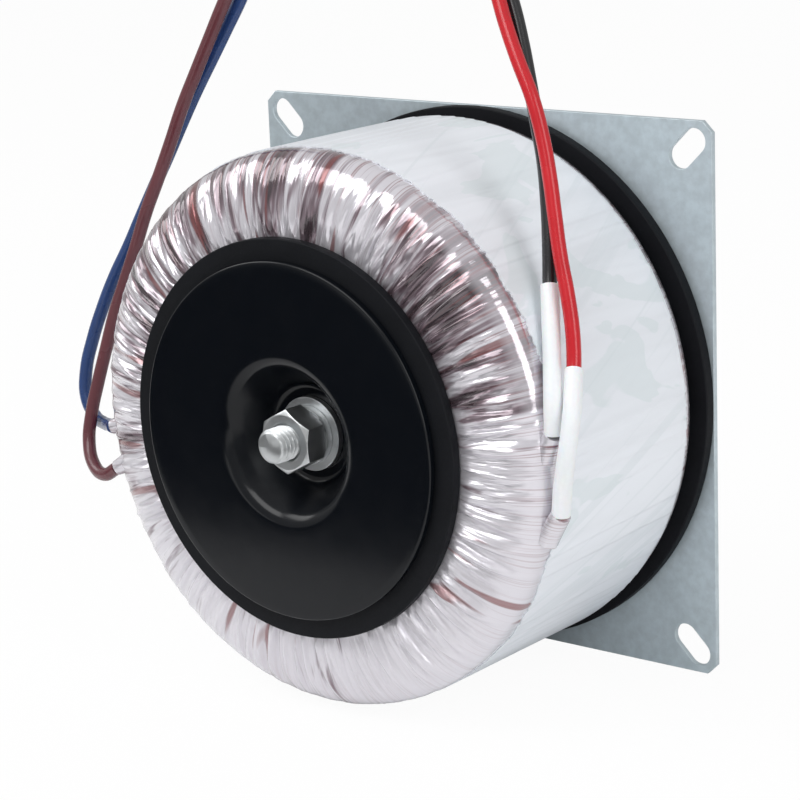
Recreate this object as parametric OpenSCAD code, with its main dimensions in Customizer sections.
// Toroidal power transformer on a square steel mounting plate.
// The coil stands on its edge: the coil's axis is the Y axis, the plate's back
// face lies in the plane y = 0 and the bolt's free end points towards -Y.
// Origin: centre of the plate's back face. +Z is up, +X is to the right seen
// from the bolt's free end. Units are millimetres.

/* [Mounting plate] */
// Length of each side of the square plate
plate_side = 130; // [120:1:170]
// Thickness of the plate's sheet
plate_t = 1.5; // [1:0.1:3]
// Length that each corner's chamfer takes off a side
plate_chamfer = 2.5; // [1:0.5:6]
// Distance between the slots' centres along a side
slot_pitch = 117; // [100:1:140]
// Width of a corner slot
slot_w = 6; // [4:0.5:8]
// Length of a corner slot from end to end
slot_len = 11; // [9:0.5:16]
// Diameter of the pressed recess at the back face
plate_recess_d = 34; // [30:1:36]
// Diameter of the flat seat for the bolt's head
plate_seat_d = 19; // [18:0.5:20]
// Depth from the back face to the seat of the bolt's head
plate_recess_depth = 5.6; // [5.5:0.1:8]
// Diameter of the hole in the plate for the bolt
plate_hole_d = 8.4; // [8.2:0.1:9]

/* [Coil] */
// Outside diameter of the finished coil
coil_od = 128; // [120:1:160]
// Diameter of the hole through the finished coil
coil_bore = 42; // [42:1:50]
// Height of the finished coil along its axis
coil_h = 67; // [60:1:90]
// Width of the front face's rounded shoulder, across the face
shoulder_w = 16; // [12:1:18]
// Depth of the front face's rounded shoulder, along the axis
shoulder_h = 9.5; // [8:0.5:14]
// Width of the rear face's rounded shoulder, across the face
rear_shoulder_w = 12; // [10:1:18]
// Depth of the rear face's rounded shoulder, along the axis
rear_shoulder_h = 6; // [5:0.5:14]
// Radius of the coil's edge at its hole
bore_edge_r = 8; // [5:0.5:9]
// Thickness of the tape band on the outer wall
tape_t = 0.4; // [0.3:0.1:0.8]
// Thickness of the clear film wrap
film_t = 0.6; // [0.4:0.1:1]
// Diameter of the secondary winding's wire
wire_d = 2; // [1.4:0.1:2]
// Number of turns of the secondary winding
turns = 66; // [40:1:66]
// Thickness of the insulation between the windings
insulation_t = 0.8; // [0.5:0.1:1.2]
// Thickness of the primary winding's layers
primary_t = 4.4; // [3:0.2:5]
// Thickness of the wrap on the steel core
core_wrap_t = 1; // [0.6:0.1:1.5]

/* [Gaskets] */
// Diameter of the rubber gasket behind the coil
rear_gasket_d = 130; // [120:1:160]
// Thickness of the rubber gasket behind the coil
rear_gasket_t = 3; // [2:0.5:4]
// Diameter of the rubber gasket in front of the coil
front_gasket_d = 91; // [84:1:100]
// Thickness of the rubber gasket in front of the coil
front_gasket_t = 2.5; // [2:0.5:4]
// Diameter of the hole in both gaskets
gasket_hole_d = 44; // [42:1:48]

/* [Dished washer] */
// Diameter of the dished steel washer
dish_d = 81.5; // [76:0.5:84]
// Thickness of the dished washer's sheet
dish_t = 2; // [1.5:0.1:2.5]
// Diameter of the dish at the washer's rim
dish_mouth_d = 40; // [36:1:41]
// Diameter of the dish's flat floor
dish_floor_d = 20; // [19:0.5:22]
// Depth of the dish
dish_depth = 10.5; // [9:0.5:12]

/* [Bolt and nut] */
// Diameter of the bolt's thread
bolt_d = 8; // [6:1:8]
// Length of thread that stands past the nut
bolt_stand = 5; // [2:0.5:12]
// Width across flats of the bolt's head and of the nut
hex_af = 13; // [10:1:14]
// Height of the bolt's head
head_h = 5.3; // [4:0.1:6]
// Height of the nut
nut_h = 6.5; // [5:0.1:7]
// Outside diameter of the flat washer
flat_washer_d = 17; // [15:0.5:18]
// Thickness of the flat washer
flat_washer_t = 1.6; // [1:0.1:2]
// Outside diameter of the spring lock washer
lock_washer_d = 13.5; // [11:0.1:14]
// Thickness of the spring lock washer
lock_washer_t = 2; // [1.5:0.1:2.5]

/* [Leads] */
// Diameter of each lead over its insulation
lead_d = 3.2; // [2.4:0.1:3.2]
// Outside diameter of the white sleeves
sleeve_d = 4; // [3.7:0.1:4.2]
// Diameter of the tinned strands at a lead's end
tip_d = 2; // [1.4:0.1:2.2]
// Length of the tinned strands at a lead's end
tip_len = 8; // [5:1:12]

/* [Hidden] */
$fn = 96;

// Clearances between pieces that are wound, fitted or laid on each other
fit_gap = 0.1;
bolt_gap = 0.2;
thread_gap = 0.05;
sleeve_gap = 0.1;

// Heights along the coil's axis, from the plate's back face
rear_gasket_z = plate_t;
coil_z = rear_gasket_z + rear_gasket_t;
front_gasket_z = coil_z + coil_h;
rim_z = front_gasket_z + front_gasket_t;
dish_floor_z = rim_z - dish_depth;
flat_washer_z = dish_floor_z + dish_t;
lock_washer_z = flat_washer_z + flat_washer_t;
nut_z = lock_washer_z + lock_washer_t;
bolt_end_z = nut_z + nut_h + bolt_stand;
bolt_len = bolt_end_z - plate_recess_depth;

// How far each layer of the coil lies below the finished surface
film_inset = tape_t;
wire_inset = film_inset + film_t + fit_gap;
insulation_inset = wire_inset + wire_d + fit_gap;
primary_inset = insulation_inset + insulation_t;
core_wrap_inset = primary_inset + primary_t;
core_inset = core_wrap_inset + core_wrap_t;

// Smallest rounding that a layer keeps at its corners
least_round = 0.5;
// Segments of a shoulder and of a bore edge, on the fine and the wound layers
fine_steps = [12, 8];
wound_steps = [3, 2];

// Radius of the bends of the pressed dishes, at the middle of the sheet
press_r = 3;
plate_press_r = 2;

// Colours
STEEL = [0.66, 0.69, 0.72];
ZINC = [0.82, 0.84, 0.85];
RUBBER = [0.06, 0.06, 0.07];
ENAMEL = [0.55, 0.22, 0.16];
WHITE = [0.93, 0.94, 0.96];

// Routes of the leads, from where each leaves the coil to its stripped end
red_route = [[65.5, -63.5, -9.5], [67, -64.5, -2], [69, -65.5, 6], [69, -63.5, 14],
    [66.5, -59, 21], [65, -57, 28.5], [62.5, -55, 36], [59.5, -53, 43.5],
    [57, -51, 51], [54.5, -49, 59], [51.5, -47, 67], [48, -45.5, 75],
    [43.5, -44, 82.5], [39, -42, 90], [35, -40, 97.5], [30.5, -38.5, 105]];
black_route = [[64.5, -64, 8], [64.5, -64, 15], [62, -60.5, 23], [59.5, -57, 30],
    [57, -53.5, 37], [55, -50.5, 46], [53, -48, 54], [50.5, -45.5, 62],
    [47.5, -43.5, 70], [44.5, -41.5, 78], [41, -39, 86], [37.5, -37, 93.5],
    [33.5, -35.5, 101], [29, -34, 108.5]];
brown_route = [[-60.5, -67.5, -16.5], [-65.5, -67, -19], [-71, -65, -17.5],
    [-74.5, -62.5, -13], [-75, -60.5, -6.5], [-74.5, -58, 1], [-73.5, -55.5, 9],
    [-72, -53.5, 17], [-69.5, -51.5, 25.5], [-67, -49.5, 34], [-64.5, -48, 42],
    [-61.5, -46, 50.5], [-58.5, -44.5, 58.5], [-55, -43.5, 67], [-51.5, -42, 75],
    [-47.5, -41, 83], [-43.5, -40, 91], [-39.5, -38.5, 99], [-35.5, -37.5, 107]];
blue_route = [[-64, -64.5, -7.5], [-68.5, -61, -8.5], [-74, -57.5, -9.5],
    [-79.5, -55, -9], [-83, -54, -5], [-84, -52.5, 1.5], [-83, -50.5, 9],
    [-81, -48.5, 16.5], [-78, -46.5, 24.5], [-74.5, -44.5, 32], [-71, -43, 39.5],
    [-67, -42, 47], [-63, -40.5, 55], [-59.5, -39, 62.5], [-55, -38.5, 70],
    [-50.5, -37.5, 77.5], [-46, -36.5, 85], [-41.5, -36, 92], [-37.5, -35, 100],
    [-33.5, -34.5, 107.5]];
// Number of route points that each white sleeve covers
red_sleeve_points = 5;
black_sleeve_points = 5;
lead_sides = 8;

// ---- Shared geometry ----

// Turns a shape built along +Z so that it stands along the coil's axis.
module on_axis(z = 0) rotate([90, 0, 0]) translate([0, 0, z]) children();

module ring(outer_d, inner_d, t) difference() {
    cylinder(d = outer_d, h = t);
    translate([0, 0, -1]) cylinder(d = inner_d, h = t + 2);
}

// Quarter of an ellipse about a centre, from angle a0 to a0 + 90.
function quarter(c, rx, rz, a0, steps) = [for (i = [0 : steps])
    let (a = a0 + 90 * i / steps) [c[0] + rx * cos(a), c[1] + rz * sin(a)]];

// Section of the coil, inset from its finished surface.
function coil_section(e, steps) = let (
        ro = coil_od / 2 - e,
        ri = coil_bore / 2 + e,
        z0 = coil_z + e,
        z1 = coil_z + coil_h - e,
        sw = max(shoulder_w - e, least_round),
        sh = max(shoulder_h - e, least_round),
        rw = max(rear_shoulder_w - e, least_round),
        rh = max(rear_shoulder_h - e, least_round),
        br = max(bore_edge_r - e, least_round))
    concat(
        quarter([ro - sw, z1 - sh], sw, sh, 0, steps[0]),
        quarter([ri + br, z1 - br], br, br, 90, steps[1]),
        quarter([ri + br, z0 + br], br, br, 180, steps[1]),
        quarter([ro - rw, z0 + rh], rw, rh, 270, steps[0]));

// A closed layer of the coil between two insets.
module coil_layer(e_out, e_in, steps_out, steps_in) rotate_extrude() difference() {
    polygon(coil_section(e_out, steps_out));
    polygon(coil_section(e_in, steps_in));
}

// Line of a pressed dish at a distance off from the sheet's middle: the rim lies
// at z = 0 and the floor at z = -depth, joined by two bends and a sloping wall.
function dish_line(mouth_r, floor_r, depth, b, off) = let (
        run = mouth_r - floor_r,
        drop = depth - 2 * b,
        slope = atan2(drop, run) + asin(2 * b / norm([run, drop])),
        n = 6)
    concat(
        [for (i = [0 : n]) let (a = slope * i / n)
            [mouth_r - (b + off) * sin(a), -b + (b + off) * cos(a)]],
        [for (i = [n : -1 : 0]) let (a = slope * i / n)
            [floor_r + (b - off) * sin(a), -depth + b - (b - off) * cos(a)]]);

// A pressed round sheet with a dish in its middle. Its top face lies at z = 0.
module dished_sheet(rim_r, mouth_r, floor_r, depth, b, t, hole_r) {
    top = dish_line(mouth_r, floor_r, depth, b, t / 2);
    under = dish_line(mouth_r, floor_r, depth, b, -t / 2);
    reversed = [for (i = [len(under) - 1 : -1 : 0]) under[i]];
    translate([0, 0, -t / 2]) rotate_extrude() polygon(concat(
        [[rim_r, t / 2]], top, [[hole_r, -depth + t / 2], [hole_r, -depth - t / 2]],
        reversed, [[rim_r, -t / 2]]));
}

// ---- Swept tubes ----

function unit(v) = v / norm(v);

// Direction of a route at point i.
function heading(route, i) = let (last = len(route) - 1)
    unit(route[min(i + 1, last)] - route[max(i - 1, 0)]);

// Side vectors carried along a route without twisting.
function side_at(route, i) = i == 0
    ? unit(cross(heading(route, 0), [0, 1, 0.2]))
    : let (s = side_at(route, i - 1), h = heading(route, i)) unit(s - h * (s * h));

function loop_points(route, i, r, sides) = let (
        h = heading(route, i), s = side_at(route, i), u = cross(h, s))
    [for (k = [0 : sides - 1]) let (a = 360 * k / sides)
        route[i] + r * (cos(a) * s + sin(a) * u)];

function skin_faces(rings, sides) = concat(
    [[for (k = [0 : sides - 1]) k]],
    [for (i = [0 : rings - 2]) for (k = [0 : sides - 1]) let (m = (k + 1) % sides)
        each [[i * sides + k, (i + 1) * sides + k, (i + 1) * sides + m],
              [i * sides + k, (i + 1) * sides + m, i * sides + m]]],
    [[for (k = [sides - 1 : -1 : 0]) (rings - 1) * sides + k]]);

// A solid tube along a route, with one ring of corners at each route point.
module swept(route, d, sides = lead_sides) polyhedron(
    points = [for (i = [0 : len(route) - 1]) each loop_points(route, i, d / 2, sides)],
    faces = skin_faces(len(route), sides));

// A hollow sleeve on the first points of a route.
module swept_sleeve(route, count, outer_d, inner_d) {
    n = count;
    s = lead_sides;
    walls = [for (w = [outer_d, inner_d]) [for (i = [0 : n - 1])
        each loop_points(route, i, w / 2, s)]];
    q = n * s;
    polyhedron(
        points = concat(walls[0], walls[1]),
        faces = concat(
            [for (i = [0 : n - 2]) for (k = [0 : s - 1]) let (m = (k + 1) % s)
                each [[i * s + k, (i + 1) * s + k, (i + 1) * s + m],
                      [i * s + k, (i + 1) * s + m, i * s + m],
                      [q + i * s + k, q + (i + 1) * s + m, q + (i + 1) * s + k],
                      [q + i * s + k, q + i * s + m, q + (i + 1) * s + m]]],
            [for (e = [0, n - 1]) for (k = [0 : s - 1]) let (
                    m = (k + 1) % s, a = e * s + k, b = e * s + m)
                each e == 0 ? [[a, b, q + b], [a, q + b, q + a]]
                            : [[a, q + b, b], [a, q + a, q + b]]]));
}

// The bare strands that continue a lead past its last route point.
module tip(route) {
    last = len(route) - 1;
    end = route[last];
    h = heading(route, last);
    swept([end, end + h * tip_len / 2, end + h * tip_len], tip_d);
}

// ---- Plate, gaskets and clamping parts ----

module corner_slot() {
    reach = (slot_len - slot_w) / 2;
    for (s = [-1, 1]) translate([s * reach, 0, -1]) cylinder(d = slot_w, h = plate_t + 2);
    translate([-reach, -slot_w / 2, -1]) cube([2 * reach, slot_w, plate_t + 2]);
}

module mounting_plate() color(STEEL) on_axis() {
    half = plate_side / 2;
    cut = half - plate_chamfer;
    disc_r = plate_recess_d / 2 + plate_press_r;
    difference() {
        linear_extrude(plate_t) polygon([[-cut, -half], [cut, -half], [half, -cut],
            [half, cut], [cut, half], [-cut, half], [-half, cut], [-half, -cut]]);
        translate([0, 0, -1]) cylinder(r = disc_r, h = plate_t + 2);
        for (a = [45 : 90 : 315]) rotate([0, 0, a])
            translate([slot_pitch / 2 * sqrt(2), 0, 0]) corner_slot();
    }
    mirror([0, 0, 1]) dished_sheet(disc_r, plate_recess_d / 2, plate_seat_d / 2,
        plate_recess_depth, plate_press_r, plate_t, plate_hole_d / 2);
}

module rear_gasket() color(RUBBER) on_axis(rear_gasket_z)
    ring(rear_gasket_d, gasket_hole_d, rear_gasket_t);

module front_gasket() color(RUBBER) on_axis(front_gasket_z)
    ring(front_gasket_d, gasket_hole_d, front_gasket_t);

module dished_washer() color(RUBBER) on_axis(rim_z + dish_t)
    dished_sheet(dish_d / 2, dish_mouth_d / 2, dish_floor_d / 2, dish_depth, press_r,
        dish_t, bolt_d / 2 + bolt_gap);

module flat_washer() color(ZINC) on_axis(flat_washer_z)
    ring(flat_washer_d, bolt_d + 2 * bolt_gap, flat_washer_t);

// A split ring: the slanted slit lets it act as a spring.
module lock_washer() color(ZINC) on_axis(lock_washer_z) difference() {
    ring(lock_washer_d, bolt_d + 2 * bolt_gap, lock_washer_t);
    rotate([0, 0, 200]) translate([bolt_d / 2 - 1, 0, lock_washer_t / 2])
        rotate([35, 0, 0]) translate([0, -0.4, -3]) cube([6, 0.8, 6]);
}

// A hexagon with its corners turned down on the given faces.
module hexagon(h, top, bottom) {
    across_corners = hex_af / cos(30);
    turned_r = across_corners / 2 + 1;
    face_r = hex_af / 2 * 0.96;
    slope_h = (turned_r - face_r) * tan(30);
    intersection() {
        cylinder(d = across_corners, h = h, $fn = 6);
        rotate_extrude() polygon(concat(
            [[0, 0]],
            bottom ? [[face_r, 0], [turned_r, slope_h]] : [[turned_r, 0]],
            top ? [[turned_r, h - slope_h], [face_r, h]] : [[turned_r, h]],
            [[0, h]]));
    }
}

module hex_nut() color(ZINC) on_axis(nut_z) difference() {
    rotate([0, 0, 29]) hexagon(nut_h, true, true);
    thread_r = bolt_d / 2 + thread_gap;
    sink = 0.5;
    rotate_extrude() polygon([[0, -1], [thread_r + sink + 1, -1], [thread_r, sink],
        [thread_r, nut_h - sink], [thread_r + sink + 1, nut_h + 1], [0, nut_h + 1]]);
}

module hex_bolt() color(ZINC) on_axis() {
    chamfer = 0.8;
    translate([0, 0, plate_recess_depth - head_h]) hexagon(head_h, false, true);
    translate([0, 0, plate_recess_depth - 1]) cylinder(d = bolt_d, h = bolt_len + 1 - chamfer);
    translate([0, 0, bolt_end_z - chamfer])
        cylinder(d1 = bolt_d, d2 = bolt_d - 2 * chamfer, h = chamfer);
}

// ---- Coil, from the outside in ----

// Tape wound round the outer wall, its rear edge rolled over the shoulder.
module outer_tape() color(WHITE) on_axis() rotate_extrude() difference() {
    polygon(coil_section(0, fine_steps));
    polygon(coil_section(film_inset, fine_steps));
    translate([0, coil_z - 1]) square([coil_od, 2.5]);
    translate([0, coil_z + coil_h - shoulder_h]) square([coil_od, shoulder_h + 1]);
    translate([0, coil_z - 1]) square([coil_od / 2 - rear_shoulder_w, coil_h + 2]);
}

module film_wrap() color([0.8, 0.74, 0.76]) on_axis()
    coil_layer(film_inset, film_inset + film_t, fine_steps, fine_steps);

// One wire wound through the hole, turn beside turn. It closes the circle but
// for one turn's width, where its two ends lie.
wire_loop = coil_section(wire_inset + wire_d / 2, wound_steps);
wire_steps = len(wire_loop);
wire_sides = 6;

function wire_point(i) = let (
        c = wire_loop[i % wire_steps],
        a = 360 * i / wire_steps / (turns + 1))
    [c[0] * cos(a), c[0] * sin(a), c[1]];

function wire_corner(i, k) = let (
        h = unit(wire_point(i + 1) - wire_point(i - 1 + (i == 0 ? 1 : 0))),
        a = 360 * i / wire_steps / (turns + 1),
        round = unit([-sin(a), cos(a), 0]),
        across = unit(round - h * (round * h)),
        out = cross(h, across),
        t = 360 * k / wire_sides)
    wire_point(i) + wire_d / 2 * (cos(t) * across + sin(t) * out);

module secondary_winding() color(ENAMEL) on_axis() {
    rings = wire_steps * turns;
    polyhedron(
        points = [for (i = [0 : rings - 1]) for (k = [0 : wire_sides - 1])
            wire_corner(i, k)],
        faces = skin_faces(rings, wire_sides));
}

module winding_insulation() color([0.92, 0.85, 0.6]) on_axis()
    coil_layer(insulation_inset, primary_inset, wound_steps, wound_steps);

module primary_winding() color(ENAMEL) on_axis()
    coil_layer(primary_inset, core_wrap_inset, wound_steps, wound_steps);

module core_wrap() color([0.95, 0.9, 0.7]) on_axis()
    coil_layer(core_wrap_inset, core_inset, wound_steps, wound_steps);

module steel_core() color([0.45, 0.46, 0.5]) on_axis()
    rotate_extrude() polygon(coil_section(core_inset, wound_steps));

// ---- Leads ----

module red_lead() color([0.78, 0.05, 0.08]) swept(red_route, lead_d);
module black_lead() color([0.05, 0.05, 0.06]) swept(black_route, lead_d);
module brown_lead() color([0.35, 0.12, 0.13]) swept(brown_route, lead_d);
module blue_lead() color([0.1, 0.2, 0.5]) swept(blue_route, lead_d);

module red_sleeve() color(WHITE)
    swept_sleeve(red_route, red_sleeve_points, sleeve_d, lead_d + 2 * sleeve_gap);
module black_sleeve() color(WHITE)
    swept_sleeve(black_route, black_sleeve_points, sleeve_d, lead_d + 2 * sleeve_gap);

module red_tip() color(ZINC) tip(red_route);
module black_tip() color(ZINC) tip(black_route);
module brown_tip() color(ZINC) tip(brown_route);
module blue_tip() color(ZINC) tip(blue_route);

mounting_plate();
rear_gasket();
hex_bolt();
steel_core();
core_wrap();
primary_winding();
winding_insulation();
secondary_winding();
film_wrap();
outer_tape();
front_gasket();
dished_washer();
flat_washer();
lock_washer();
hex_nut();
red_lead();
black_lead();
brown_lead();
blue_lead();
red_sleeve();
black_sleeve();
red_tip();
black_tip();
brown_tip();
blue_tip();
